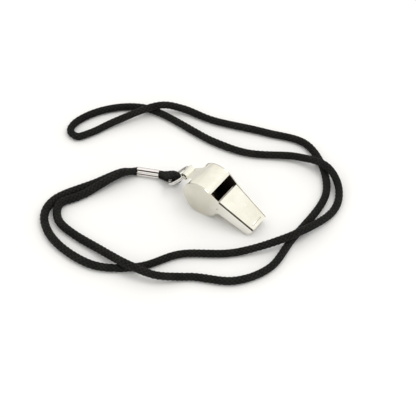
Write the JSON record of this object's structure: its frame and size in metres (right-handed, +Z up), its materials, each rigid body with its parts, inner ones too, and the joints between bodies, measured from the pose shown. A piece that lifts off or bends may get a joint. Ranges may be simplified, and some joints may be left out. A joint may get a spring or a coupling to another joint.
{
  "type": "training whistle",
  "caption": "Sheet-metal pea whistle with a sound window, loose cork pea, rolled lanyard eye and split ring, on a long braided cord neck loop held by a crimped ferrule.",
  "frame": {"origin": "on the standing surface, under the middle of the whistle and its split ring together", "axes": "+X from the split ring towards the mouthpiece tip, +Y across the whistle towards its right side plate, +Z up from the surface the barrel and the mouthpiece tip stand on"},
  "size_m": [0.165, 0.1484, 0.0232],
  "materials": {
    "plated_body": "bright plated sheet metal",
    "cork": "ground cork",
    "ring_wire": "bright plated spring wire",
    "crimp": "bright plated thin metal",
    "cord": "tightly braided black cord"
  },
  "bodies": {
    "whistle": {"top_band": "plated_body", "bottom_band": "plated_body", "left_side_plate": "plated_body", "right_side_plate": "plated_body", "mouthpiece_cover": "plated_body", "windway_plate": "plated_body", "ferrule": "crimp", "cord_in_ferrule": "cord", "cord_eye": "cord", "cord_loop": "cord"},
    "pea": {"pea": "cork"},
    "ring": {"split_ring": "ring_wire"}
  },
  "joints": [
    {"name": "pea_orbit", "type": "hinge", "parent": "whistle", "child": "pea", "pos_m": [-0.00335, 0, 0.0116], "axis": [0, 1, 0], "continuous": true},
    {"name": "ring_turn", "type": "hinge", "parent": "whistle", "child": "ring", "pos_m": [-0.02409, 0, 0.01024], "axis": [-0.7071, 0, 0.7071], "continuous": true}
  ]
}
